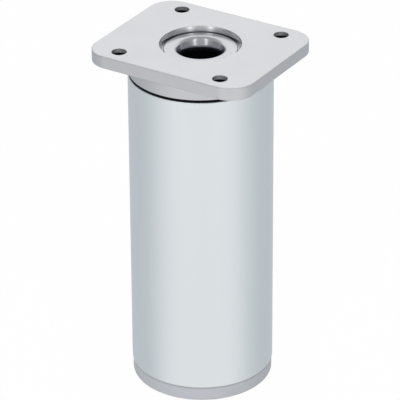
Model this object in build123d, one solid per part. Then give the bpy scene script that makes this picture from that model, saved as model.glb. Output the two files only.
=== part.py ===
from build123d import *
import math
import os

# Adjustable furniture leg, in millimetres.
# The origin is the centre of the foot's underside, and +Z runs up the leg's axis.
# The long side of the mounting plate lies along X. The leg is modelled screwed right in.

# How far the foot comes out of the tube, from the closed leg
travel = 15.0

# Tube
tube_diameter = 50.0
tube_length = 111.6
tube_wall = 2.2
tube_socket_wall = 1.5
tube_edge_break = 0.3

# Foot
foot_rim_height = 5.1
foot_rim_setback = 0.3
foot_lower_round = 1.0
foot_upper_break = 0.4
foot_floor = 3.2
foot_skirt_overlap = 7.0
foot_skirt_wall = 2.2
foot_skirt_gap = 0.4
foot_hub_height = 9.0
foot_hub_radius = 11.0
foot_recess_radius = 9.5
foot_recess_depth = 4.1
foot_ribs = 6
foot_rib_width = 1.8
foot_rib_drop = 1.0
closed_gap = 0.4

# Spindle
thread_diameter = 10.0
thread_spare = 1.5
thread_chamfer = 1.0
spindle_collar_radius = 8.0
spindle_collar_height = 3.0
journal_diameter = 8.0
journal_tail = 1.4
socket_across_flats = 5.0
socket_depth = 6.0
running_gap = 0.05

# Washer between the foot's hub and the spindle's collar
washer_radius = 9.5
washer_thickness = 1.0

# Retaining ring on the spindle's journal
ring_radius = 7.2
ring_thickness = 0.9
ring_axial_gap = 0.1
ring_groove_depth = 0.7
ring_slot_width = 5.6
ring_tab_width = 2.2
ring_relief = 1.0

# Nut and the carrier that holds it in the tube
nut_across_flats = 16.0
nut_height = 8.4
nut_chamfer = 0.8
nut_recess = 0.6
carrier_height = 16.0
carrier_web = 5.0
carrier_wall = 2.5
carrier_hub_radius = 12.5
carrier_ribs = 8
carrier_rib_width = 1.8
carrier_rib_drop = 2.0
carrier_spindle_gap = 0.4
seat_gap = 0.05

# Top plug
plug_flange_thickness = 1.0
plug_flange_setback = 0.4
plug_disc = 3.0
plug_wall = 2.0
plug_skirt_length = 16.0
plug_skirt_chamfer = 0.8
plug_ledge = 1.2
plug_ledge_height = 1.4
plug_ribs = 8
plug_rib_width = 1.6
plug_rib_height = 5.0
plug_rib_length = 6.0

# Bush that clamps the plate on the plug
bush_bore = 15.2
bush_mouth = 16.7
bush_mouth_round = 0.7
bush_mouth_height = 3.0
bush_flange_radius = 12.7
bush_flange_thickness = 1.6
bush_edge_break = 0.3
bush_lip_wall = 1.15
bush_wall = 1.6
bush_seat_depth = 1.6

# Mounting plate
plate_length = 62.5
plate_width = 52.0
plate_thickness = 4.6
plate_corner_radius = 8.75
plate_edge_break = 0.4
hole_spacing_x = 40.0
hole_spacing_y = 40.0
hole_diameter = 5.2
hole_edge_break = 0.1
recess_diameter = 27.2
recess_edge_round = 0.9
bush_below_face = 1.8
collar_setback = 0.2
collar_height = 4.8
collar_wall = 3.0
boss_wall = 3.0
pocket_depth = 4.0
pocket_ribs = 8
pocket_rib_width = 2.0

# Levels up the leg, worked out from the sizes above
tube_radius = tube_diameter / 2
tube_bottom = foot_rim_height + closed_gap
tube_top = tube_bottom + tube_length
plug_flange_top = tube_top + plug_flange_thickness
plate_underside = plug_flange_top + collar_height
plate_top = plate_underside + plate_thickness
bush_top = plate_top - bush_below_face
recess_floor = bush_top - bush_flange_thickness
neck_top = bush_top - bush_mouth_height
plug_disc_bottom = plug_flange_top - plug_disc
skirt_top = tube_bottom + travel + foot_skirt_overlap
carrier_bottom = skirt_top
carrier_top = carrier_bottom + carrier_height
nut_top = carrier_top - carrier_web
nut_bottom = nut_top - nut_height
carrier_hub_bottom = nut_bottom - nut_recess
spindle_seat = foot_hub_height + washer_thickness
thread_bottom = spindle_seat + spindle_collar_height
thread_top = carrier_top + travel + thread_spare
ring_top = foot_recess_depth - ring_axial_gap
ring_bottom = ring_top - ring_thickness

# Radii that fit one another
tube_bore_radius = tube_radius - tube_wall
tube_socket_radius = tube_radius - tube_socket_wall
foot_rim_radius = tube_radius - foot_rim_setback
skirt_radius = tube_socket_radius - foot_skirt_gap
skirt_inner_radius = skirt_radius - foot_skirt_wall
carrier_radius = tube_socket_radius - seat_gap
carrier_inner_radius = carrier_radius - carrier_wall
thread_radius = thread_diameter / 2
journal_radius = journal_diameter / 2
groove_radius = journal_radius - ring_groove_depth
bush_bore_radius = bush_bore / 2
neck_radius = bush_bore_radius + bush_lip_wall
bush_inner_radius = neck_radius + seat_gap
bush_radius = bush_inner_radius + bush_wall
plate_hole_radius = bush_radius + seat_gap
boss_radius = plate_hole_radius + boss_wall
collar_radius = tube_radius - collar_setback
pocket_radius = collar_radius - collar_wall
plug_flange_radius = tube_radius - plug_flange_setback
plug_radius = tube_bore_radius - seat_gap
plug_inner_radius = plug_radius - plug_wall
ledge_radius = bush_bore_radius - plug_ledge

# Boxes and cylinders that stand on their place
ON_FLOOR = (Align.CENTER, Align.CENTER, Align.MIN)


def nearest_corner(outline, radius, height):
    """The corner of a flat outline that lies nearest to a radius and height."""
    return min(outline.vertices(), key=lambda v: math.hypot(v.X - radius, v.Y - height))


def turned(points, rounds=(), breaks=()):
    """Revolves a closed outline of (radius, height) points about Z.

    rounds and breaks hold (radius, height, size) for the corners that are rounded or chamfered."""
    outline = make_face(Polyline(*points, close=True))
    for radius, height, size in rounds:
        outline = fillet(nearest_corner(outline, radius, height), size)
    for radius, height, size in breaks:
        outline = chamfer(nearest_corner(outline, radius, height), size)
    return revolve(Plane.XZ * outline, axis=Axis.Z)


def tube_space(outer, inner, bottom, top):
    """Solid ring between two radii and two heights."""
    return turned([(inner, bottom), (outer, bottom), (outer, top), (inner, top)])


def hexagon_prism(across_flats, bottom, height):
    """Upright hexagonal prism on the axis."""
    outline = RegularPolygon(across_flats / 2, 6, major_radius=False)
    return extrude(Pos(0, 0, bottom) * outline, height)


def radial_ribs(count, width, inner, outer, bottom, top):
    """Flat ribs from one radius to another, evenly spaced, with ends buried in round walls."""
    bury = width / 2
    length = outer - inner + 2 * bury
    middle = (outer + inner) / 2
    rib = Pos(middle, 0, bottom) * Box(length, width, top - bottom, align=ON_FLOOR)
    return [Rot(0, 0, 360 * i / count) * rib for i in range(count)]


def make_tube():
    """Extruded tube, bored wider from below so that the nut carrier seats against a shoulder."""
    outline = [
        (tube_socket_radius, tube_bottom),
        (tube_radius, tube_bottom),
        (tube_radius, tube_top),
        (tube_bore_radius, tube_top),
        (tube_bore_radius, carrier_top),
        (tube_socket_radius, carrier_top),
    ]
    breaks = [
        (tube_radius, tube_bottom, tube_edge_break),
        (tube_radius, tube_top, tube_edge_break),
    ]
    return turned(outline, breaks=breaks)


def make_foot():
    """Moulded foot: floor, rounded rim, guiding skirt and a hub that the spindle turns in."""
    bore_radius = journal_radius + running_gap
    outline = [
        (foot_recess_radius, 0),
        (foot_rim_radius, 0),
        (foot_rim_radius, foot_rim_height),
        (skirt_radius, foot_rim_height),
        (skirt_radius, skirt_top),
        (skirt_inner_radius, skirt_top),
        (skirt_inner_radius, foot_floor),
        (foot_hub_radius, foot_floor),
        (foot_hub_radius, foot_hub_height),
        (bore_radius, foot_hub_height),
        (bore_radius, foot_recess_depth),
        (foot_recess_radius, foot_recess_depth),
    ]
    rounds = [(foot_rim_radius, 0, foot_lower_round)]
    breaks = [(foot_rim_radius, foot_rim_height, foot_upper_break)]
    foot = turned(outline, rounds, breaks)
    rib_top = foot_hub_height - foot_rib_drop
    ribs = radial_ribs(foot_ribs, foot_rib_width, foot_hub_radius, skirt_inner_radius, foot_floor, rib_top)
    return foot + ribs


def make_spindle():
    """Spindle with a hexagon socket on top, a collar, and a grooved journal at the bottom."""
    groove_bottom = ring_bottom - running_gap
    groove_top = ring_top + running_gap
    journal_bottom = groove_bottom - journal_tail
    outline = [
        (0, journal_bottom),
        (journal_radius, journal_bottom),
        (journal_radius, groove_bottom),
        (groove_radius, groove_bottom),
        (groove_radius, groove_top),
        (journal_radius, groove_top),
        (journal_radius, spindle_seat),
        (spindle_collar_radius, spindle_seat),
        (spindle_collar_radius, thread_bottom),
        (thread_radius, thread_bottom),
        (thread_radius, thread_top - thread_chamfer),
        (thread_radius - thread_chamfer, thread_top),
        (0, thread_top),
    ]
    return turned(outline) - hexagon_prism(socket_across_flats, thread_top - socket_depth, socket_depth)


def make_thrust_washer():
    """Flat washer that takes the load from the spindle's collar into the foot."""
    return tube_space(washer_radius, journal_radius + running_gap, foot_hub_height, spindle_seat)


def make_retaining_ring():
    """Open clip with three tabs that reach into the journal's groove."""
    tab_radius = groove_radius + running_gap
    relief_radius = journal_radius + ring_relief
    ring = tube_space(ring_radius, relief_radius, ring_bottom, ring_top)
    tab_length = relief_radius + ring_relief / 2
    tab = Pos(0, 0, ring_bottom) * Box(
        tab_length, ring_tab_width, ring_thickness, align=(Align.MIN, Align.CENTER, Align.MIN)
    )
    for angle in (0, 90, 180):
        ring += Rot(0, 0, angle) * tab
    slot = Pos(0, 0, ring_bottom) * Box(
        ring_slot_width, ring_radius, ring_thickness, align=(Align.CENTER, Align.MAX, Align.MIN)
    )
    shaft = Pos(0, 0, ring_bottom) * Cylinder(tab_radius, ring_thickness, align=ON_FLOOR)
    return ring - slot - shaft


def make_spindle_nut():
    """Hexagon nut with both corners chamfered."""
    across_corners = nut_across_flats / math.cos(math.radians(30)) / 2
    limit = turned([
        (thread_radius + running_gap, nut_bottom),
        (across_corners - nut_chamfer, nut_bottom),
        (across_corners, nut_bottom + nut_chamfer / 2),
        (across_corners, nut_top - nut_chamfer / 2),
        (across_corners - nut_chamfer, nut_top),
        (thread_radius + running_gap, nut_top),
    ])
    return hexagon_prism(nut_across_flats, nut_bottom, nut_height) & limit


def make_nut_carrier():
    """Moulded insert: ring, web and ribbed hub with a hexagonal pocket for the nut."""
    hole_radius = thread_radius + carrier_spindle_gap
    ring = tube_space(carrier_radius, carrier_inner_radius, carrier_bottom, carrier_top)
    web = tube_space(carrier_inner_radius + seat_gap, hole_radius, nut_top, carrier_top)
    hub = tube_space(carrier_hub_radius, hole_radius, carrier_hub_bottom, carrier_top)
    rib_bottom = carrier_hub_bottom + carrier_rib_drop
    ribs = radial_ribs(
        carrier_ribs, carrier_rib_width, carrier_hub_radius, carrier_inner_radius, rib_bottom, nut_top
    )
    pocket_height = nut_top - carrier_hub_bottom
    pocket = hexagon_prism(nut_across_flats + 2 * seat_gap, carrier_hub_bottom, pocket_height)
    return (ring + web + hub + ribs) - pocket


def make_top_plug():
    """Moulded plug: thin flange, skirt in the tube, and a neck with a stepped bore up the plate."""
    groove_floor = plug_flange_top - bush_seat_depth
    ledge_top = plug_flange_top + plug_ledge_height
    skirt_bottom = tube_top - plug_skirt_length
    outline = [
        (ledge_radius, plug_disc_bottom),
        (plug_inner_radius, plug_disc_bottom),
        (plug_inner_radius, skirt_bottom),
        (plug_radius - plug_skirt_chamfer, skirt_bottom),
        (plug_radius, skirt_bottom + 2 * plug_skirt_chamfer),
        (plug_radius, tube_top),
        (plug_flange_radius, tube_top),
        (plug_flange_radius, plug_flange_top),
        (bush_radius + seat_gap, plug_flange_top),
        (bush_radius + seat_gap, groove_floor),
        (neck_radius, groove_floor),
        (neck_radius, neck_top),
        (bush_bore_radius, neck_top),
        (bush_bore_radius, ledge_top),
        (ledge_radius, ledge_top),
    ]
    rib_start = plug_inner_radius - plug_rib_length
    rib_bottom = plug_disc_bottom - plug_rib_height
    ribs = radial_ribs(
        plug_ribs, plug_rib_width, rib_start, plug_inner_radius, rib_bottom, plug_disc_bottom
    )
    return turned(outline) + ribs


def make_plate_bush():
    """Flanged sleeve with a tapered, rounded mouth, pressed over the plug's neck."""
    bottom = plug_flange_top - bush_seat_depth
    outline = [
        (bush_bore_radius, neck_top),
        (bush_mouth / 2, bush_top),
        (bush_flange_radius, bush_top),
        (bush_flange_radius, recess_floor),
        (bush_radius, recess_floor),
        (bush_radius, bottom),
        (bush_inner_radius, bottom),
        (bush_inner_radius, neck_top),
    ]
    rounds = [(bush_mouth / 2, bush_top, bush_mouth_round)]
    breaks = [(bush_flange_radius, bush_top, bush_edge_break)]
    return turned(outline, rounds, breaks)


def top_rims(flange, radius):
    """Round edges of one radius in the plate's top face."""
    circles = flange.faces().sort_by(Axis.Z)[-1].edges().filter_by(GeomType.CIRCLE)
    return [edge for edge in circles if abs(edge.radius - radius) < 0.01]


def make_mounting_plate():
    """Die casting: flange with four holes and a round recess, and a collar hollowed from below."""
    flange_outline = RectangleRounded(plate_length, plate_width, plate_corner_radius)
    flange = extrude(Pos(0, 0, plate_underside) * flange_outline, plate_thickness)
    flange = chamfer(flange.faces().sort_by(Axis.Z)[-1].edges(), plate_edge_break)
    flange = chamfer(flange.faces().sort_by(Axis.Z)[0].edges(), plate_edge_break)
    recess_depth = plate_top - recess_floor
    flange -= Pos(0, 0, recess_floor) * Cylinder(recess_diameter / 2, recess_depth, align=ON_FLOOR)
    hole = Pos(0, 0, plate_underside) * Cylinder(hole_diameter / 2, plate_thickness, align=ON_FLOOR)
    for place in GridLocations(hole_spacing_x, hole_spacing_y, 2, 2):
        flange -= place * hole
    flange = fillet(top_rims(flange, recess_diameter / 2), recess_edge_round)
    flange = chamfer(top_rims(flange, hole_diameter / 2), hole_edge_break)

    collar_outline = [
        (0, plug_flange_top),
        (collar_radius, plug_flange_top),
        (collar_radius, plate_underside),
        (0, plate_underside),
    ]
    plate = flange + turned(collar_outline)

    pocket_top = plug_flange_top + pocket_depth
    pocket = tube_space(pocket_radius, boss_radius, plug_flange_top, pocket_top)
    for rib in radial_ribs(
        pocket_ribs, pocket_rib_width, boss_radius, pocket_radius, plug_flange_top, pocket_top
    ):
        pocket = pocket - rib
    bore_height = plate_top - plug_flange_top
    bore = Pos(0, 0, plug_flange_top) * Cylinder(plate_hole_radius, bore_height, align=ON_FLOOR)
    return plate - pocket - bore


parts = {
    "mounting_plate": make_mounting_plate(),
    "plate_bush": make_plate_bush(),
    "top_plug": make_top_plug(),
    "tube": make_tube(),
    "nut_carrier": make_nut_carrier(),
    "spindle_nut": make_spindle_nut(),
    "spindle": make_spindle(),
    "thrust_washer": make_thrust_washer(),
    "retaining_ring": make_retaining_ring(),
    "foot": make_foot(),
}

os.makedirs("parts", exist_ok=True)
for name, shape in parts.items():
    export_step(shape, f"parts/{name}.step")
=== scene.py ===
import math

import bmesh
import bpy
from bpy.props import FloatProperty, FloatVectorProperty, IntProperty, PointerProperty
from mathutils import Matrix, Vector


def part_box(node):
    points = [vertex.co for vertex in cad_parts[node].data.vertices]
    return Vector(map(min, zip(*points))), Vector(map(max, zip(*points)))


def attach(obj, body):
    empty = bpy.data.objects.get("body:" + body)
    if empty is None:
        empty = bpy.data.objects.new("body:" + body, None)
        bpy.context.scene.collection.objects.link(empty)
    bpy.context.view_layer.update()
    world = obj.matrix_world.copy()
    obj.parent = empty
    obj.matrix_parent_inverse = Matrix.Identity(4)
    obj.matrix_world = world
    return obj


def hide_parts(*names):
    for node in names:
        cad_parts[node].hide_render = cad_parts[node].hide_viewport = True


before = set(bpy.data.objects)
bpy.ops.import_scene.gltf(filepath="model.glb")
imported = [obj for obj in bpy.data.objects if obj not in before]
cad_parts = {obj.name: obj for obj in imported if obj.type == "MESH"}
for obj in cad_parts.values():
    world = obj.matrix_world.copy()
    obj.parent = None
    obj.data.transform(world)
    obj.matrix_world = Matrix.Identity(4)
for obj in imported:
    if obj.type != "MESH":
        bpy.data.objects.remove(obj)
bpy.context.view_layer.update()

bl_info = {
    "name": "Adjustable furniture leg",
    "version": (1, 0, 0),
    "blender": (4, 5, 0),
    "location": "3D View > Sidebar > Furniture leg",
    "description": "Models and dresses an adjustable furniture leg and sets it in a plain studio",
    "category": "Object",
}

MM = 0.001
# Points closer than this are in the same place
NEAR = 0.001 * MM
# How far a cutter reaches past a face, and a joined form into its neighbour
OVERLAP = 1 * MM

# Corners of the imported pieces, from which the new pieces take their places and outer sizes
plate_low, plate_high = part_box("mounting_plate")
bush_low, bush_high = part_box("plate_bush")
tube_low, tube_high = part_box("tube")
spindle_low, spindle_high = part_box("spindle")
washer_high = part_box("thrust_washer")[1]
carrier_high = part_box("nut_carrier")[1]


def linear(hex_colour):
    """An sRGB hex colour as linear red, green, blue and alpha."""
    channels = [int(hex_colour[i:i + 2], 16) / 255 for i in (1, 3, 5)]
    return [c / 12.92 if c <= 0.04045 else ((c + 0.055) / 1.055) ** 2.4 for c in channels] + [1.0]


def direction(azimuth, elevation):
    """Unit vector from the leg towards an azimuth, from -Y round to +X, and an elevation."""
    across = math.cos(elevation)
    return Vector((math.sin(azimuth) * across, -math.cos(azimuth) * across, math.sin(elevation)))


def size(name, description, value):
    """A length that a user can change, in metres."""
    return FloatProperty(name=name, description=description, default=value, unit="LENGTH", precision=5)


def angle(name, description, degrees):
    """An angle that a user can change."""
    return FloatProperty(
        name=name, description=description, default=math.radians(degrees), unit="ROTATION", subtype="ANGLE"
    )


def colour(name, description, value):
    """A colour that a user can change, written as sRGB hex."""
    return FloatVectorProperty(
        name=name, description=description, default=linear(value), size=4, min=0, max=1, subtype="COLOR"
    )


def power(name, description, watts):
    """A lamp's power that a user can change."""
    return FloatProperty(name=name, description=description, default=watts, min=0, unit="POWER")


def strength(name, description, value):
    """A strength of light that a user can change. At 1 a white surround is seen as white."""
    return FloatProperty(name=name, description=description, default=value, min=0)


class LegSizes(bpy.types.PropertyGroup):
    """Sizes of the pieces that are modelled here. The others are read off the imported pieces."""

    plate_length: size("Plate length", "Long side of the mounting plate", plate_high.x - plate_low.x)
    plate_width: size("Plate width", "Short side of the mounting plate", plate_high.y - plate_low.y)
    plate_thickness: size("Plate thickness", "Thickness of the plate's flange", 4.6 * MM)
    corner_radius: size("Corner radius", "Radius of the plate's four corners", 8.75 * MM)
    plate_edge_round: size("Plate edge round", "Radius of the casting's outer edges", 0.45 * MM)
    hole_spacing: size("Hole spacing", "Distance between the screw holes, both ways", 40 * MM)
    hole_radius: size("Hole radius", "Radius of the screw holes", 2.6 * MM)
    hole_edge_round: size("Hole edge round", "Radius of the rim of a screw hole", 0.12 * MM)
    recess_radius: size("Recess radius", "Radius of the round recess in the plate's top", 13.6 * MM)
    recess_depth: size("Recess depth", "Depth of that recess", 3.4 * MM)
    recess_mouth: size("Recess mouth", "Radius of its tapered mouth at the plate's top", 14.1 * MM)
    recess_mouth_depth: size("Recess mouth depth", "Depth of the tapered mouth", 1.5 * MM)
    recess_edge_round: size("Recess edge round", "Radius of the recess's rim", 0.15 * MM)
    plate_bore: size("Plate bore", "Radius of the plate's middle hole", 10.45 * MM)
    boss_radius: size("Boss radius", "Outer radius of the boss round the plate's middle hole", 13.45 * MM)
    collar_radius: size("Collar radius", "Radius of the collar below the plate", 24.8 * MM)
    collar_wall: size("Collar wall", "Wall of the collar below the plate", 3.0 * MM)
    pocket_depth: size("Pocket depth", "Depth of the pockets under the collar", 4.0 * MM)
    rib_width: size("Rib width", "Width of the ribs between the pockets", 2.0 * MM)
    pocket_round: size("Pocket round", "Radius at the closed end of the pockets", 0.5 * MM)
    bush_bore: size("Bush bore", "Radius of the bush's bore below its mouth", 7.3 * MM)
    bush_mouth: size("Bush mouth", "Radius of the bush's mouth at its top, before it is rounded", 8.45 * MM)
    bush_mouth_height: size("Bush mouth height", "Height of the tapered mouth", 3.0 * MM)
    bush_mouth_round: size("Bush mouth round", "How far the round of the mouth's rim reaches", 1.1 * MM)
    bush_throat_round: size("Bush throat round", "How far the round between mouth and bore reaches", 0.7 * MM)
    bush_lip: size("Bush lip", "Outer radius of the lip that reaches down the plug's bore", 7.55 * MM)
    bush_lip_depth: size("Bush lip depth", "How far it reaches below the tapered mouth", 1.6 * MM)
    bush_crown: size("Bush crown", "How far the flange's top rises to its mouth", 0.3 * MM)
    bush_flange: size("Bush flange", "Thickness of the bush's flange", 1.6 * MM)
    bush_edge_round: size("Bush edge round", "Radius of the flange's outer edge", 0.35 * MM)
    bush_sleeve: size("Bush sleeve", "Outer radius of the bush's sleeve", 10.4 * MM)
    bush_sleeve_bore: size("Bush sleeve bore", "Inner radius of the bush's sleeve", 8.8 * MM)
    tube_bore: size("Tube bore", "Radius of the tube's upper bore", 22.8 * MM)
    tube_socket: size("Tube socket", "Radius of the wider bore for carrier and foot", 23.5 * MM)
    tube_edge_round: size("Tube edge round", "Radius of the tube's two outer edges", 0.3 * MM)
    thread_radius: size("Thread radius", "Outer radius of the spindle's thread", 5.0 * MM)
    thread_pitch: size("Thread pitch", "Rise of the thread in one turn", 1.5 * MM)
    thread_chamfer: size("Thread chamfer", "Chamfer on the spindle's upper end", 1.0 * MM)
    spindle_collar: size("Spindle collar", "Radius of the collar that rests on the washer", 8.0 * MM)
    spindle_collar_height: size("Spindle collar height", "Height of that collar", 3.0 * MM)
    spindle_collar_round: size("Spindle collar round", "Radius of that collar's two edges", 0.2 * MM)
    journal_radius: size("Journal radius", "Radius of the journal that turns in the foot", 4.0 * MM)
    groove_depth: size("Groove depth", "Depth of the retaining ring's groove", 0.7 * MM)
    groove_width: size("Groove width", "Width of the retaining ring's groove", 1.0 * MM)
    journal_tail: size("Journal tail", "Length of journal below the groove", 1.4 * MM)
    journal_round: size("Journal round", "Radius of the journal's lower edge", 0.4 * MM)
    socket_flats: size("Socket flats", "Distance across the flats of the key socket", 5.0 * MM)
    socket_depth: size("Socket depth", "Depth of the key socket", 6.0 * MM)
    socket_lead: size("Socket lead", "How far the lead-in cone reaches past the socket's corners", 0.2 * MM)
    segments: IntProperty(
        name="Segments", description="Faces round bush, tube and collar", default=144, min=48
    )


class LegColours(bpy.types.PropertyGroup):
    """Colours of the pieces' finishes, with painted shade in the screw holes and, in part, in the black
    plastic.
    """

    tube: colour("Tube", "Matt silver anodised aluminium", "#DCE1E4")
    plate: colour("Plate", "Satin zinc die casting", "#C8C9CC")
    # The holes' colour is painted shade, not a colour of the metal: near black painted on the screw holes'
    # walls below 1.2 mm, where the holes lie in shade
    hole: colour("Holes", "Inside of the screw holes, which the plating doesn't reach", "#060607")
    bush: colour("Bush", "Turned and nickel plated steel", "#AFB1B6")
    steel: colour("Steel", "Bright zinc plated steel", "#C6CAD0")
    # Near black plastic of the plug and nut carrier. It is blacker than real plastic so that the plug's
    # flange line under the collar also stands in for the shade in that gap: partly the plastic's own colour,
    # partly painted shade
    black_plastic: colour("Black plastic", "Moulded plug and nut carrier", "#08090D")
    grey_plastic: colour("Grey plastic", "Moulded foot", "#AFB2B8")


class LegStage(bpy.types.PropertyGroup):
    """Camera, lamps and surroundings."""

    azimuth: angle("Azimuth", "Camera's place round the leg, from -Y towards +X", 32.032)
    elevation: angle("Elevation", "Camera's height above the level", 28.183)
    roll: angle("Roll", "Camera's turn about its own axis", -0.373)
    distance: size("Distance", "From the camera to the middle of the view", 1.07315)
    lens: FloatProperty(name="Lens", description="Focal length in millimetres", default=276.7, unit="CAMERA")
    aim_height: size("Aim height", "Height of the middle of the view", 67.066 * MM)
    aim_side: size("Aim side", "Middle of the view, to the right of the leg's axis", -0.524 * MM)
    floor_size: size("Floor size", "Side of the square floor", 8.0)
    floor_gap: size("Floor gap", "How far the floor lies under the foot", 0.1 * MM)
    strip_side: angle("Strip side", "Each light strip's place beside the camera", 28)
    strip_distance: size("Strip distance", "From the leg's axis to each light strip", 0.9)
    strip_width: size("Strip width", "Width of each light strip", 0.18)
    strip_height: size("Strip height", "Height of each light strip, which stands on the floor", 1.4)
    strip_power: power("Strip power", "Power of each light strip", 1.3)
    fill_side: angle("Fill side", "The front fill's place beside the camera, to the left if negative", -10)
    fill_elevation: angle("Fill elevation", "The front fill's height above the level", 12)
    fill_distance: size("Fill distance", "From the middle of the foot to the front fill", 1.0)
    fill_width: size("Fill width", "Width of the front fill", 0.8)
    fill_height: size("Fill height", "Height of the front fill", 0.4)
    fill_power: power("Fill power", "Power of the front fill", 3.0)
    card_setback: size("Card setback", "Middle of the floor card, in front of the leg's axis", 16 * MM)
    card_radius: size("Card radius", "Radius of the floor card", 1.5)
    card_height: size("Card height", "How far the floor card lies above the foot's underside", 0.5 * MM)
    card_grey: colour("Card", "Grey that the tube's flanks reflect", "#D5D9DC")
    tent_back: strength("Tent back", "Strength of the light tent behind the leg", 1.5)
    tent_front: strength("Tent front", "Strength of the light tent on the camera's side", 0.7)
    tent_low: strength("Tent low", "Share of its light that is left low down at the sides and behind", 0.25)


def add_node(tree, kind, settings=None, links=None):
    """Adds a node, with values for its inputs or properties and sockets that feed its inputs."""
    node = tree.nodes.new(kind)
    for key, value in (settings or {}).items():
        if isinstance(key, int) or key in node.inputs:
            node.inputs[key].default_value = value
        else:
            setattr(node, key, value)
    for key, socket in (links or {}).items():
        tree.links.new(socket, node.inputs[key])
    return node


def new_material(name):
    """An empty node material and its tree."""
    material = bpy.data.materials.new(name)
    material.use_nodes = True
    material.node_tree.nodes.clear()
    return material, material.node_tree


def finish_material(tree, settings, links):
    """Adds the surface shader and the output."""
    shader = add_node(tree, "ShaderNodeBsdfPrincipled", settings, links)
    add_node(tree, "ShaderNodeOutputMaterial", links={"Surface": shader.outputs["BSDF"]})


def anodised_aluminium(base):
    """Extruded tube, etched and anodised: an even satin sheen with faint lines along the extrusion."""
    material, tree = new_material("anodised_aluminium")
    place = add_node(tree, "ShaderNodeTexCoord")
    # Die lines 0.5 mm apart, stretched along the tube. Real ones are finer and wouldn't show.
    along = add_node(tree, "ShaderNodeMapping", {"Scale": (1, 1, 0.01)}, {"Vector": place.outputs["Object"]})
    lines = add_node(
        tree,
        "ShaderNodeTexNoise",
        {"Scale": 1 / (0.5 * MM), "Detail": 2},
        {"Vector": along.outputs["Vector"]},
    )
    rough = add_node(
        tree, "ShaderNodeMapRange", {"To Min": 0.40, "To Max": 0.46}, {"Value": lines.outputs["Fac"]}
    )
    bump = add_node(
        tree, "ShaderNodeBump", {"Strength": 0.15, "Distance": 0.01 * MM}, {"Height": lines.outputs["Fac"]}
    )
    finish_material(
        tree,
        {"Base Color": base, "Metallic": 1.0},
        {"Roughness": rough.outputs["Result"], "Normal": bump.outputs["Normal"]},
    )
    return material


def satin_die_casting(base, painted_hole_shade, hole_spacing, hole_radius, recess_mouth, face):
    """Zinc die casting, tumbled and plated matt: fine even grain and a soft sheen. The recess is bored
    after tumbling, so it shines more. The walls of the narrow screw holes carry painted shade: they are
    painted near black, fading in between 1.2 and 1.7 mm below the face, where the holes lie in shade."""
    material, tree = new_material("satin_die_casting")
    place = add_node(tree, "ShaderNodeTexCoord")
    # Grain 0.4 mm across from tumbling
    grain = add_node(
        tree,
        "ShaderNodeTexNoise",
        {"Scale": 1 / (0.4 * MM), "Detail": 3},
        {"Vector": place.outputs["Object"]},
    )
    # Cloudy patches 12 mm across, where the plating is a little duller
    clouds = add_node(
        tree, "ShaderNodeTexNoise", {"Scale": 1 / (12 * MM), "Detail": 2}, {"Vector": place.outputs["Object"]}
    )
    rough = add_node(
        tree, "ShaderNodeMapRange", {"To Min": 0.46, "To Max": 0.54}, {"Value": clouds.outputs["Fac"]}
    )
    bump = add_node(
        tree, "ShaderNodeBump", {"Strength": 0.2, "Distance": 0.01 * MM}, {"Height": grain.outputs["Fac"]}
    )
    # Distance from the leg's axis: the bored recess is half as rough as the tumbled faces
    folded = add_node(
        tree, "ShaderNodeVectorMath", {"operation": "ABSOLUTE"}, {0: place.outputs["Object"]}
    )
    flat = add_node(
        tree, "ShaderNodeVectorMath", {"operation": "MULTIPLY", 1: (1, 1, 0)}, {0: folded.outputs["Vector"]}
    )
    radius = add_node(tree, "ShaderNodeVectorMath", {"operation": "LENGTH"}, {0: flat.outputs["Vector"]})
    tumbled = add_node(
        tree,
        "ShaderNodeMapRange",
        {
            "From Min": recess_mouth - 0.1 * MM,
            "From Max": recess_mouth + 0.2 * MM,
            "To Min": 0.5,
            "To Max": 1.0,
        },
        {"Value": radius.outputs["Value"]},
    )
    dull = add_node(
        tree,
        "ShaderNodeMath",
        {"operation": "MULTIPLY"},
        {0: rough.outputs["Result"], 1: tumbled.outputs["Result"]},
    )
    # The four holes are folded onto one, and what lies within its wall or 0.05 mm outside is the hole
    middle = (hole_spacing / 2, hole_spacing / 2, 0)
    away = add_node(
        tree, "ShaderNodeVectorMath", {"operation": "DISTANCE", 1: middle}, {0: flat.outputs["Vector"]}
    )
    inside = add_node(
        tree,
        "ShaderNodeMath",
        {"operation": "LESS_THAN", 1: hole_radius + 0.05 * MM},
        {0: away.outputs["Value"]},
    )
    parts = add_node(tree, "ShaderNodeSeparateXYZ", links={"Vector": place.outputs["Object"]})
    deep = add_node(
        tree,
        "ShaderNodeMapRange",
        {"From Min": face - 1.2 * MM, "From Max": face - 1.7 * MM},
        {"Value": parts.outputs["Z"]},
    )
    # Painted shade: within a hole, the wall fades to near black from 1.2 to 1.7 mm below the face
    painted_shade = add_node(
        tree,
        "ShaderNodeMath",
        {"operation": "MULTIPLY"},
        {0: inside.outputs["Value"], 1: deep.outputs["Result"]},
    )
    # The plate's colour, with the painted shade in the holes mixed in
    paint = add_node(
        tree, "ShaderNodeMix", {"data_type": "RGBA", 6: base, 7: painted_hole_shade}, {0: painted_shade.outputs["Value"]}
    )
    finish_material(
        tree,
        {"Metallic": 1.0},
        {
            "Base Color": paint.outputs[2],
            "Roughness": dull.outputs["Value"],
            "Normal": bump.outputs["Normal"],
        },
    )
    return material


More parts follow.
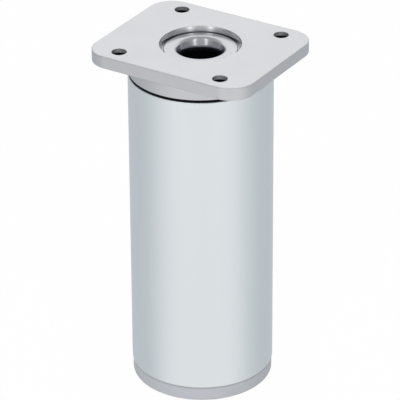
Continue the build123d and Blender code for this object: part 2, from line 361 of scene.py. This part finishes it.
def turned_nickel(base):
    """Bush turned from bar and nickel plated: bright, with fine rings from the tool."""
    material, tree = new_material("turned_nickel")
    place = add_node(tree, "ShaderNodeTexCoord")
    flat = add_node(
        tree,
        "ShaderNodeVectorMath",
        {"operation": "MULTIPLY", 1: (1, 1, 0)},
        {0: place.outputs["Object"]},
    )
    radius = add_node(tree, "ShaderNodeVectorMath", {"operation": "LENGTH"}, {0: flat.outputs["Vector"]})
    # Feed of 0.3 mm a turn, drawn coarser than the real 0.1 mm so that it shows
    turns = add_node(
        tree,
        "ShaderNodeMath",
        {"operation": "MULTIPLY", 1: 2 * math.pi / (0.3 * MM)},
        {0: radius.outputs["Value"]},
    )
    rings = add_node(tree, "ShaderNodeMath", {"operation": "SINE"}, {0: turns.outputs["Value"]})
    bump = add_node(
        tree, "ShaderNodeBump", {"Strength": 0.05, "Distance": 0.01 * MM}, {"Height": rings.outputs["Value"]}
    )
    finish_material(
        tree, {"Base Color": base, "Metallic": 1.0, "Roughness": 0.22}, {"Normal": bump.outputs["Normal"]}
    )
    return material


def zinc_plated_steel(base):
    """Bright zinc plating on rolled or turned steel: a cool shine with faint blotches."""
    material, tree = new_material("zinc_plated_steel")
    place = add_node(tree, "ShaderNodeTexCoord")
    # Blotches 3 mm across from the passivated plating
    blotches = add_node(
        tree, "ShaderNodeTexNoise", {"Scale": 1 / (3 * MM), "Detail": 3}, {"Vector": place.outputs["Object"]}
    )
    rough = add_node(
        tree, "ShaderNodeMapRange", {"To Min": 0.24, "To Max": 0.38}, {"Value": blotches.outputs["Fac"]}
    )
    finish_material(tree, {"Base Color": base, "Metallic": 1.0}, {"Roughness": rough.outputs["Result"]})
    return material


def moulded_plastic(name, base, roughness, specular):
    """Injection moulded polyamide from a fine spark-eroded mould: even and a little dull."""
    material, tree = new_material(name)
    place = add_node(tree, "ShaderNodeTexCoord")
    # Texture 0.3 mm across
    texture = add_node(
        tree,
        "ShaderNodeTexNoise",
        {"Scale": 1 / (0.3 * MM), "Detail": 2},
        {"Vector": place.outputs["Object"]},
    )
    rough = add_node(
        tree,
        "ShaderNodeMapRange",
        {"To Min": roughness - 0.05, "To Max": roughness + 0.05},
        {"Value": texture.outputs["Fac"]},
    )
    bump = add_node(
        tree, "ShaderNodeBump", {"Strength": 0.25, "Distance": 0.02 * MM}, {"Height": texture.outputs["Fac"]}
    )
    finish_material(
        tree,
        {"Base Color": base, "Specular IOR Level": specular},
        {"Roughness": rough.outputs["Result"], "Normal": bump.outputs["Normal"]},
    )
    return material


def backdrop_white():
    """Paper backdrop: plain white to the camera and in reflections, and it keeps a faint shadow. Seen
    from below it isn't there, so that the underside of the leg shows."""
    material, tree = new_material("backdrop_white")
    path = add_node(tree, "ShaderNodeLightPath")
    seen = add_node(
        tree,
        "ShaderNodeMath",
        {"operation": "MAXIMUM"},
        {0: path.outputs["Is Camera Ray"], 1: path.outputs["Is Glossy Ray"]},
    )
    seen = add_node(
        tree,
        "ShaderNodeMath",
        {"operation": "MAXIMUM"},
        {0: seen.outputs["Value"], 1: path.outputs["Is Transmission Ray"]},
    )
    # The last 3 per cent is the paper's own shade, which holds the shadow
    share = add_node(tree, "ShaderNodeMath", {"operation": "MULTIPLY", 1: 0.97}, {0: seen.outputs["Value"]})
    paper = add_node(tree, "ShaderNodeBsdfDiffuse", {"Color": linear("#F2F2F2")})
    white = add_node(tree, "ShaderNodeEmission", {"Color": linear("#FFFFFF"), "Strength": 1.0})
    mix = add_node(
        tree,
        "ShaderNodeMixShader",
        links={"Fac": share.outputs["Value"], 1: paper.outputs["BSDF"], 2: white.outputs["Emission"]},
    )
    side = add_node(tree, "ShaderNodeNewGeometry")
    clear = add_node(tree, "ShaderNodeBsdfTransparent")
    surface = add_node(
        tree,
        "ShaderNodeMixShader",
        links={"Fac": side.outputs["Backfacing"], 1: mix.outputs["Shader"], 2: clear.outputs["BSDF"]},
    )
    add_node(tree, "ShaderNodeOutputMaterial", links={"Surface": surface.outputs["Shader"]})
    return material


def graduated_card(grey, middle, front):
    """Card that is white towards the camera and runs evenly into grey round the back."""
    material, tree = new_material("graduated_card")
    place = add_node(tree, "ShaderNodeTexCoord")
    away = add_node(
        tree, "ShaderNodeVectorMath", {"operation": "SUBTRACT", 1: middle}, {0: place.outputs["Object"]}
    )
    unit = add_node(tree, "ShaderNodeVectorMath", {"operation": "NORMALIZE"}, {0: away.outputs["Vector"]})
    towards = add_node(
        tree, "ShaderNodeVectorMath", {"operation": "DOT_PRODUCT", 1: front}, {0: unit.outputs["Vector"]}
    )
    # White within 45 degrees of the front, and all grey from about 100 degrees on
    share = add_node(
        tree,
        "ShaderNodeMapRange",
        {"interpolation_type": "SMOOTHSTEP", "From Min": 0.7, "From Max": -0.2},
        {"Value": towards.outputs["Value"]},
    )
    paint = add_node(
        tree,
        "ShaderNodeMix",
        {"data_type": "RGBA", 6: linear("#FFFFFF"), 7: grey},
        {0: share.outputs["Result"]},
    )
    card = add_node(tree, "ShaderNodeEmission", {"Strength": 1.0}, {"Color": paint.outputs[2]})
    add_node(tree, "ShaderNodeOutputMaterial", links={"Surface": card.outputs["Emission"]})
    return material


def dress(obj, material):
    """Gives an object one material."""
    obj.data.materials.clear()
    obj.data.materials.append(material)


def pick(obj):
    """Deselects everything but one object, and makes it the active one."""
    bpy.ops.object.select_all(action="DESELECT")
    obj.select_set(True)
    bpy.context.view_layer.objects.active = obj


def select_edges(obj, wanted):
    """In edit mode, selects the edges that pass the test."""
    bpy.ops.mesh.select_mode(type="EDGE")
    bpy.ops.mesh.select_all(action="DESELECT")
    shape = bmesh.from_edit_mesh(obj.data)
    for edge in shape.edges:
        edge.select = wanted(edge)
    shape.select_flush_mode()
    bmesh.update_edit_mesh(obj.data)


def on_level(height):
    """Test for edges at one height."""
    return lambda edge: all(abs(vert.co.z - height) < NEAR for vert in edge.verts)


def on_ring(radius, height):
    """Test for edges at one height and one distance from the leg's axis."""
    level = on_level(height)
    return lambda edge: level(edge) and all(abs(vert.co.xy.length - radius) < NEAR for vert in edge.verts)


def turned(name, outline, segments, rounds=(), solid=False):
    """Turns an outline of (radius, height) points: a ring is extruded from point to point.

    A solid piece has faces over its first and last ring, and any other piece is a closed loop.
    rounds holds (radius, height, size, steps) for the corners that are rounded."""
    bpy.ops.object.select_all(action="DESELECT")
    radius, height = outline[0]
    fill = "NGON" if solid else "NOTHING"
    bpy.ops.mesh.primitive_circle_add(
        vertices=segments, radius=radius, fill_type=fill, location=(0, 0, height)
    )
    obj = bpy.context.object
    obj.name = name
    bpy.ops.object.transform_apply(location=True, rotation=False, scale=False)
    bpy.ops.object.mode_set(mode="EDIT")
    path = outline[1:] if solid else outline[1:] + outline[:1]
    for next_radius, next_height in path:
        bpy.ops.mesh.extrude_region()
        grow = next_radius / radius
        bpy.ops.transform.resize(value=(grow, grow, 1), center_override=(0, 0, height))
        bpy.ops.transform.translate(value=(0, 0, next_height - height))
        radius, height = next_radius, next_height
    bpy.ops.mesh.select_all(action="SELECT")
    bpy.ops.mesh.remove_doubles(threshold=NEAR)
    bpy.ops.mesh.normals_make_consistent(inside=False)
    for radius, height, amount, steps in rounds:
        select_edges(obj, on_ring(radius, height))
        bpy.ops.mesh.bevel(offset=amount, segments=steps, affect="EDGES")
    bpy.ops.object.mode_set(mode="OBJECT")
    return obj


def flare(radius, height, amount, steps=6):
    """Outline points of a cutter that leaves a rounded rim where it comes out of a flat top."""
    turns = [math.radians(90) * i / steps for i in range(steps + 1)]
    return [
        (radius + amount * (1 - math.cos(turn)), height - amount * (1 - math.sin(turn))) for turn in turns
    ]


def block(name, low, high):
    """Box between two corners, with its place in its mesh."""
    bpy.ops.object.select_all(action="DESELECT")
    bpy.ops.mesh.primitive_cube_add(size=1, location=(Vector(low) + Vector(high)) / 2)
    obj = bpy.context.object
    obj.name = name
    obj.scale = Vector(high) - Vector(low)
    bpy.ops.object.transform_apply(location=True, rotation=False, scale=True)
    return obj


def apply_modifier(obj, kind, **settings):
    """Adds a modifier with its settings and applies it."""
    pick(obj)
    modifier = obj.modifiers.new(kind.lower(), kind)
    for key, value in settings.items():
        setattr(modifier, key, value)
    bpy.ops.object.modifier_apply(modifier=modifier.name)


def combine(obj, tool, operation):
    """Cuts the tool out of a piece, joins it to the piece or keeps what they share. The tool goes."""
    apply_modifier(obj, "BOOLEAN", operation=operation, object=tool, solver="EXACT")
    mesh = tool.data
    bpy.data.objects.remove(tool)
    bpy.data.meshes.remove(mesh)


def finish_piece(obj, material, body, node):
    """Merges the points that the cuts left together, shades a new piece, gives it its material and
    puts it in the place of its CAD node."""
    pick(obj)
    bpy.ops.object.mode_set(mode="EDIT")
    bpy.ops.mesh.select_all(action="SELECT")
    bpy.ops.mesh.remove_doubles(threshold=2 * NEAR)
    bpy.ops.object.mode_set(mode="OBJECT")
    bpy.ops.object.shade_smooth_by_angle(angle=math.radians(35))
    apply_modifier(obj, "WEIGHTED_NORMAL", keep_sharp=True, weight=100)
    dress(obj, material)
    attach(obj, body)
    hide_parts(node)


class LEG_OT_plate(bpy.types.Operator):
    """Models the cast mounting plate with its holes, recess, collar and pockets"""

    bl_idname = "leg.plate"
    bl_label = "Mounting plate"

    def execute(self, context):
        sizes = context.scene.leg_sizes
        colours = context.scene.leg_colours
        top, bottom = plate_high.z, plate_low.z
        underside = top - sizes.plate_thickness
        plate = self.flange(sizes, underside, top)
        collar_outline = [(sizes.collar_radius, bottom), (sizes.collar_radius, underside + OVERLAP)]
        combine(plate, turned("collar", collar_outline, sizes.segments, solid=True), "UNION")
        combine(plate, self.pockets(sizes, bottom), "DIFFERENCE")
        combine(plate, self.holes(sizes, underside, top), "DIFFERENCE")

        floor = top - sizes.recess_depth
        recess_outline = [
            (sizes.plate_bore, bottom - OVERLAP),
            (sizes.plate_bore, floor),
            (sizes.recess_radius, floor),
            (sizes.recess_radius, top - sizes.recess_mouth_depth),
            *flare(sizes.recess_mouth, top, sizes.recess_edge_round),
            (sizes.recess_mouth + sizes.recess_edge_round, top + OVERLAP),
        ]
        combine(plate, turned("recess", recess_outline, sizes.segments, solid=True), "DIFFERENCE")
        material = satin_die_casting(
            colours.plate, colours.hole, sizes.hole_spacing, sizes.hole_radius, sizes.recess_mouth, top
        )
        finish_piece(plate, material, "leg", "mounting_plate")
        return {"FINISHED"}

    def flange(self, sizes, underside, top):
        """The plate's flange, with rounded corners and edges."""
        half = Vector((sizes.plate_length, sizes.plate_width, 0)) / 2
        flange = block("plate_casting", (-half.x, -half.y, underside), (half.x, half.y, top))
        pick(flange)
        bpy.ops.object.mode_set(mode="EDIT")
        select_edges(flange, lambda edge: abs(edge.verts[0].co.z - edge.verts[1].co.z) > NEAR)
        bpy.ops.mesh.bevel(offset=sizes.corner_radius, segments=16, affect="EDGES")
        for height in (underside, top):
            select_edges(flange, on_level(height))
            bpy.ops.mesh.bevel(offset=sizes.plate_edge_round, segments=5, affect="EDGES")
        bpy.ops.object.mode_set(mode="OBJECT")
        return flange

    def holes(self, sizes, underside, top):
        """Cutter for the four screw holes: one is modelled and mirrored twice."""
        outline = [
            (sizes.hole_radius, underside - OVERLAP),
            *flare(sizes.hole_radius, top, sizes.hole_edge_round, steps=3),
            (sizes.hole_radius + sizes.hole_edge_round, top + OVERLAP),
        ]
        cutter = turned("holes", outline, segments=64, solid=True)
        bpy.ops.object.mode_set(mode="EDIT")
        bpy.ops.mesh.select_all(action="SELECT")
        bpy.ops.transform.translate(value=(sizes.hole_spacing / 2, sizes.hole_spacing / 2, 0))
        bpy.ops.object.mode_set(mode="OBJECT")
        apply_modifier(cutter, "MIRROR", use_axis=(True, True, False))
        return cutter

    def pockets(self, sizes, bottom):
        """Cutter for the eight pockets under the collar: a ring, parted by a bar for each pair of ribs."""
        inner, outer = sizes.boss_radius, sizes.collar_radius - sizes.collar_wall
        below, above = bottom - OVERLAP, bottom + sizes.pocket_depth
        outline = [(inner, below), (outer, below), (outer, above), (inner, above)]
        rounds = [(outer, above, sizes.pocket_round, 4), (inner, above, sizes.pocket_round, 4)]
        cutter = turned("pockets", outline, sizes.segments, rounds)
        half = sizes.rib_width / 2
        reach = outer + OVERLAP
        for turn in range(4):
            bar = block("rib", (-reach, -half, below - OVERLAP), (reach, half, above + OVERLAP))
            bpy.ops.transform.rotate(
                value=math.radians(45) * turn, orient_axis="Z", center_override=(0, 0, 0)
            )
            bpy.ops.object.transform_apply(location=True, rotation=True, scale=False)
            combine(cutter, bar, "DIFFERENCE")
        return cutter


class LEG_OT_bush(bpy.types.Operator):
    """Models the turned bush that clamps the plate"""

    bl_idname = "leg.bush"
    bl_label = "Plate bush"

    def execute(self, context):
        sizes = context.scene.leg_sizes
        top, bottom = bush_high.z, bush_low.z
        crown = top + sizes.bush_crown
        seat = top - sizes.bush_flange
        neck = top - sizes.bush_mouth_height
        lip = neck - sizes.bush_lip_depth
        outline = [
            (sizes.bush_bore, lip),
            (sizes.bush_bore, neck),
            (sizes.bush_mouth, crown),
            (bush_high.x, top),
            (bush_high.x, seat),
            (sizes.bush_sleeve, seat),
            (sizes.bush_sleeve, bottom),
            (sizes.bush_sleeve_bore, bottom),
            (sizes.bush_sleeve_bore, neck),
            (sizes.bush_lip, neck),
            (sizes.bush_lip, lip),
        ]
        rounds = [
            (sizes.bush_bore, neck, sizes.bush_throat_round, 6),
            (sizes.bush_mouth, crown, sizes.bush_mouth_round, 14),
            (bush_high.x, top, sizes.bush_edge_round, 4),
        ]
        bush = turned("turned_bush", outline, sizes.segments, rounds)
        material = turned_nickel(context.scene.leg_colours.bush)
        finish_piece(bush, material, "leg", "plate_bush")
        return {"FINISHED"}


class LEG_OT_tube(bpy.types.Operator):
    """Models the extruded tube with its stepped bore"""

    bl_idname = "leg.tube"
    bl_label = "Tube"

    def execute(self, context):
        sizes = context.scene.leg_sizes
        top, bottom, shoulder = tube_high.z, tube_low.z, carrier_high.z
        outline = [
            (sizes.tube_socket, bottom),
            (tube_high.x, bottom),
            (tube_high.x, top),
            (sizes.tube_bore, top),
            (sizes.tube_bore, shoulder),
            (sizes.tube_socket, shoulder),
        ]
        rounds = [(tube_high.x, height, sizes.tube_edge_round, 4) for height in (bottom, top)]
        tube = turned("extruded_tube", outline, sizes.segments, rounds)
        material = anodised_aluminium(context.scene.leg_colours.tube)
        finish_piece(tube, material, "leg", "tube")
        return {"FINISHED"}


class LEG_OT_spindle(bpy.types.Operator):
    """Models the threaded spindle with its key socket, collar and grooved journal"""

    bl_idname = "leg.spindle"
    bl_label = "Spindle"

    def execute(self, context):
        sizes = context.scene.leg_sizes
        top, seat = spindle_high.z, washer_high.z
        collar_top = seat + sizes.spindle_collar_height
        spindle = self.thread(sizes, collar_top, top)
        # What the thread is cut down to: it ends in the collar below and has its chamfer at the top
        limit_outline = [
            (sizes.thread_radius + OVERLAP, collar_top - OVERLAP / 2),
            (sizes.thread_radius + OVERLAP, top - sizes.thread_chamfer - OVERLAP),
            (sizes.thread_radius - sizes.thread_chamfer, top),
        ]
        combine(spindle, turned("limit", limit_outline, segments=48, solid=True), "INTERSECT")
        combine(spindle, self.journal(sizes, seat, collar_top), "UNION")

        corner = sizes.socket_flats / 2 / math.cos(math.radians(30))
        socket_outline = [(corner, top - sizes.socket_depth), (corner, top + OVERLAP)]
        combine(spindle, turned("socket", socket_outline, segments=6, solid=True), "DIFFERENCE")
        lead, reach = corner + sizes.socket_lead, OVERLAP / 2
        lead_outline = [(lead - reach, top - reach), (lead + reach, top + reach)]
        combine(spindle, turned("lead", lead_outline, segments=48, solid=True), "DIFFERENCE")
        material = zinc_plated_steel(context.scene.leg_colours.steel)
        finish_piece(spindle, material, "spindle", "spindle")
        return {"FINISHED"}

    def thread(self, sizes, bottom, top):
        """Metric thread, longer than needed at both ends: one pitch of its profile, drawn from point
        to point, is screwed up the axis."""
        pitch = sizes.thread_pitch
        # Metric profile: flanks at 60 degrees, flat for a quarter pitch at the root, an eighth at the crest
        depth = 0.541 * pitch
        root = sizes.thread_radius - depth
        profile = [
            (root, 0),
            (root, pitch / 4),
            (sizes.thread_radius, pitch * 9 / 16),
            (sizes.thread_radius, pitch * 11 / 16),
            (root, pitch),
        ]
        start = bottom - 3 * pitch
        bpy.ops.object.select_all(action="DESELECT")
        bpy.ops.mesh.primitive_plane_add(size=MM)
        thread = bpy.context.object
        thread.name = "threaded_spindle"
        bpy.ops.object.mode_set(mode="EDIT")
        bpy.ops.mesh.select_mode(type="VERT")
        bpy.ops.mesh.merge(type="CENTER")
        bpy.ops.transform.translate(value=(root, 0, start))
        for (radius, height), (next_radius, next_height) in zip(profile, profile[1:]):
            bpy.ops.mesh.extrude_region()
            bpy.ops.transform.translate(value=(next_radius - radius, 0, next_height - height))
        bpy.ops.object.mode_set(mode="OBJECT")
        turns = math.ceil((top - start) / pitch) + 2
        apply_modifier(
            thread,
            "SCREW",
            angle=math.radians(360),
            screw_offset=pitch,
            iterations=turns,
            steps=36,
            render_steps=36,
        )
        bpy.ops.object.mode_set(mode="EDIT")
        bpy.ops.mesh.select_all(action="SELECT")
        bpy.ops.mesh.remove_doubles(threshold=NEAR)
        for height, upwards in ((bottom - pitch, -1), (top + pitch, 1)):
            bpy.ops.mesh.select_all(action="SELECT")
            bpy.ops.mesh.bisect(
                plane_co=(0, 0, height), plane_no=(0, 0, upwards), use_fill=True, clear_outer=True
            )
        bpy.ops.mesh.select_all(action="SELECT")
        bpy.ops.mesh.normals_make_consistent(inside=False)
        bpy.ops.object.mode_set(mode="OBJECT")
        return thread

    def journal(self, sizes, seat, collar_top):
        """Collar and grooved journal below the thread."""
        groove_bottom = spindle_low.z + sizes.journal_tail
        groove_top = groove_bottom + sizes.groove_width
        groove = sizes.journal_radius - sizes.groove_depth
        outline = [
            (sizes.journal_radius, spindle_low.z),
            (sizes.journal_radius, groove_bottom),
            (groove, groove_bottom),
            (groove, groove_top),
            (sizes.journal_radius, groove_top),
            (sizes.journal_radius, seat),
            (sizes.spindle_collar, seat),
            (sizes.spindle_collar, collar_top),
        ]
        rounds = [
            (sizes.journal_radius, spindle_low.z, sizes.journal_round, 3),
            (sizes.spindle_collar, seat, sizes.spindle_collar_round, 3),
            (sizes.spindle_collar, collar_top, sizes.spindle_collar_round, 3),
        ]
        return turned("journal", outline, segments=96, rounds=rounds, solid=True)


class LEG_OT_finishes(bpy.types.Operator):
    """Gives the nodes that stay as packed the finish of the real pieces"""

    bl_idname = "leg.finishes"
    bl_label = "Finishes"

    def execute(self, context):
        colours = context.scene.leg_colours
        steel = zinc_plated_steel(colours.steel)
        # The black plastic's specular of 0.05, below real plastic's, is painted shade in part: it keeps the
        # flange line under the collar as deep as the shade in that gap
        black = moulded_plastic(
            "black_plastic_with_gap_shade", colours.black_plastic, roughness=0.6, specular=0.05
        )
        grey = moulded_plastic("grey_moulded_plastic", colours.grey_plastic, roughness=0.5, specular=0.5)
        finishes = {
            "top_plug": black,
            "nut_carrier": black,
            "spindle_nut": steel,
            "thrust_washer": steel,
            "retaining_ring": steel,
            "foot": grey,
        }
        for node, material in finishes.items():
            dress(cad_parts[node], material)
        return {"FINISHED"}


class LEG_OT_stage(bpy.types.Operator):
    """Sets the camera, the lamps, the floor and the world"""

    bl_idname = "leg.stage"
    bl_label = "Stage"

    def execute(self, context):
        stage = context.scene.leg_stage
        self.add_floor(context, stage)
        self.add_camera(context, stage)
        self.add_strips(context, stage)
        self.add_fill(context, stage)
        self.add_floor_card(context, stage)
        self.add_tent(context, stage)
        return {"FINISHED"}

    def add_floor(self, context, stage):
        """The white floor, just under the foot so that the two don't share a plane."""
        bpy.ops.object.select_all(action="DESELECT")
        bpy.ops.mesh.primitive_plane_add(size=stage.floor_size, location=(0, 0, -stage.floor_gap))
        floor = context.object
        floor.name = "floor"
        dress(floor, backdrop_white())

    def add_camera(self, context, stage):
        """A long lens from the front right, above the plate, as the photo was taken."""
        back = direction(stage.azimuth, stage.elevation)
        right = direction(stage.azimuth + math.radians(90), 0)
        up = back.cross(right)
        target = right * stage.aim_side + Vector((0, 0, stage.aim_height))
        across = right * math.cos(stage.roll) + up * math.sin(stage.roll)
        upright = up * math.cos(stage.roll) - right * math.sin(stage.roll)
        bpy.ops.object.camera_add()
        camera = context.object
        camera.name = "camera"
        turn = Matrix((across, upright, back)).transposed().to_4x4()
        camera.matrix_world = Matrix.Translation(target + back * stage.distance) @ turn
        camera.data.lens = stage.lens
        camera.data.sensor_width = 36
        camera.data.clip_end = 20
        context.scene.camera = camera
        context.scene.view_settings.view_transform = "Standard"

    def add_softbox(self, context, name, outwards, middle, width, height):
        """A rectangular lamp at a place, which shines back along outwards."""
        bpy.ops.object.light_add(type="AREA")
        lamp = context.object
        lamp.name = name
        turn = outwards.to_track_quat("Z", "Y").to_matrix().to_4x4()
        lamp.matrix_world = Matrix.Translation(middle) @ turn
        lamp.data.shape = "RECTANGLE"
        lamp.data.size = width
        lamp.data.size_y = height
        return lamp

    def add_strips(self, context, stage):
        """Two tall soft strips on the floor, one to each side of the camera, that draw the paired
        highlights in the recess and the bush."""
        for name, side in (("left_strip", -stage.strip_side), ("right_strip", stage.strip_side)):
            outwards = direction(stage.azimuth + side, 0)
            middle = outwards * stage.strip_distance + Vector((0, 0, stage.strip_height / 2))
            lamp = self.add_softbox(
                context, name, outwards, middle, stage.strip_width, stage.strip_height
            )
            lamp.data.energy = stage.strip_power

    def add_fill(self, context, stage):
        """A softbox below and to the left of the camera that shapes the dull foot and isn't reflected."""
        outwards = direction(stage.azimuth + stage.fill_side, stage.fill_elevation)
        middle = outwards * stage.fill_distance
        lamp = self.add_softbox(
            context, "front_fill", outwards, middle, stage.fill_width, stage.fill_height
        )
        lamp.data.energy = stage.fill_power
        lamp.visible_glossy = False

    def add_floor_card(self, context, stage):
        """A graduated card on the floor round the leg, which only reflections see: it darkens the
        flanks of the tube and the plate's right side."""
        front = direction(stage.azimuth, 0)
        middle = front * stage.card_setback
        place = middle + Vector((0, 0, stage.card_height))
        bpy.ops.object.select_all(action="DESELECT")
        bpy.ops.mesh.primitive_circle_add(
            vertices=96, radius=stage.card_radius, fill_type="NGON", location=place
        )
        card = context.object
        card.name = "floor_card"
        bpy.ops.object.transform_apply(location=True, rotation=False, scale=False)
        card.visible_camera = False
        card.visible_shadow = False
        card.visible_diffuse = False
        dress(card, graduated_card(stage.card_grey, middle, front))

    def add_tent(self, context, stage):
        """A light tent: bright behind the leg, dimmer on the camera's side, dim low down at the sides
        and behind, and white to the camera."""
        world = bpy.data.worlds.new("light_tent")
        context.scene.world = world
        world.use_nodes = True
        tree = world.node_tree
        tree.nodes.clear()
        place = add_node(tree, "ShaderNodeTexCoord")
        towards = add_node(
            tree,
            "ShaderNodeVectorMath",
            {"operation": "DOT_PRODUCT", 1: direction(stage.azimuth, 0)},
            {0: place.outputs["Generated"]},
        )
        # Bright from 136 degrees off the front, and dimmer within 99 degrees of it
        glow = add_node(
            tree,
            "ShaderNodeMapRange",
            {
                "interpolation_type": "SMOOTHSTEP",
                "From Min": -0.72,
                "From Max": -0.15,
                "To Min": stage.tent_back,
                "To Max": stage.tent_front,
            },
            {"Value": towards.outputs["Value"]},
        )
        # Up to 6 degrees above the floor, and less so up to 17, it is dim but for the camera's side
        parts = add_node(tree, "ShaderNodeSeparateXYZ", links={"Vector": place.outputs["Generated"]})
        high = add_node(
            tree,
            "ShaderNodeMapRange",
            {"interpolation_type": "SMOOTHSTEP", "From Min": 0.1, "From Max": 0.3},
            {"Value": parts.outputs["Z"]},
        )
        near = add_node(
            tree,
            "ShaderNodeMapRange",
            {"interpolation_type": "SMOOTHSTEP", "From Min": 0.2, "From Max": 0.7},
            {"Value": towards.outputs["Value"]},
        )
        lit = add_node(
            tree,
            "ShaderNodeMath",
            {"operation": "MAXIMUM"},
            {0: high.outputs["Result"], 1: near.outputs["Result"]},
        )
        dimmer = add_node(
            tree, "ShaderNodeMapRange", {"To Min": stage.tent_low}, {"Value": lit.outputs["Value"]}
        )
        level = add_node(
            tree,
            "ShaderNodeMath",
            {"operation": "MULTIPLY"},
            {0: glow.outputs["Result"], 1: dimmer.outputs["Result"]},
        )
        tent = add_node(
            tree, "ShaderNodeBackground", {"Color": linear("#FEFEFD")}, {"Strength": level.outputs["Value"]}
        )
        white = add_node(tree, "ShaderNodeBackground", {"Color": linear("#FFFFFF"), "Strength": 1.0})
        path = add_node(tree, "ShaderNodeLightPath")
        mix = add_node(
            tree,
            "ShaderNodeMixShader",
            links={
                "Fac": path.outputs["Is Camera Ray"],
                1: tent.outputs["Background"],
                2: white.outputs["Background"],
            },
        )
        add_node(tree, "ShaderNodeOutputWorld", links={"Surface": mix.outputs["Shader"]})


class LEG_PT_sidebar(bpy.types.Panel):
    """Sizes, colours and pieces of the furniture leg"""

    bl_label = "Furniture leg"
    bl_idname = "LEG_PT_sidebar"
    bl_space_type = "VIEW_3D"
    bl_region_type = "UI"
    bl_category = "Furniture leg"

    def draw(self, context):
        scene = context.scene
        for group in (scene.leg_sizes, scene.leg_colours, scene.leg_stage):
            box = self.layout.box()
            for name in group.__annotations__:
                box.prop(group, name)
        for operator in OPERATORS:
            self.layout.operator(operator.bl_idname)


OPERATORS = (LEG_OT_plate, LEG_OT_bush, LEG_OT_tube, LEG_OT_spindle, LEG_OT_finishes, LEG_OT_stage)
CLASSES = (LegSizes, LegColours, LegStage, *OPERATORS, LEG_PT_sidebar)


def register():
    for cls in CLASSES:
        bpy.utils.register_class(cls)
    bpy.types.Scene.leg_sizes = PointerProperty(type=LegSizes)
    bpy.types.Scene.leg_colours = PointerProperty(type=LegColours)
    bpy.types.Scene.leg_stage = PointerProperty(type=LegStage)


def unregister():
    del bpy.types.Scene.leg_stage
    del bpy.types.Scene.leg_colours
    del bpy.types.Scene.leg_sizes
    for cls in reversed(CLASSES):
        bpy.utils.unregister_class(cls)


def main():
    """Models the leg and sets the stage."""
    register()
    bpy.ops.leg.plate()
    bpy.ops.leg.bush()
    bpy.ops.leg.tube()
    bpy.ops.leg.spindle()
    bpy.ops.leg.finishes()
    bpy.ops.leg.stage()


if __name__ == "__main__":
    main()
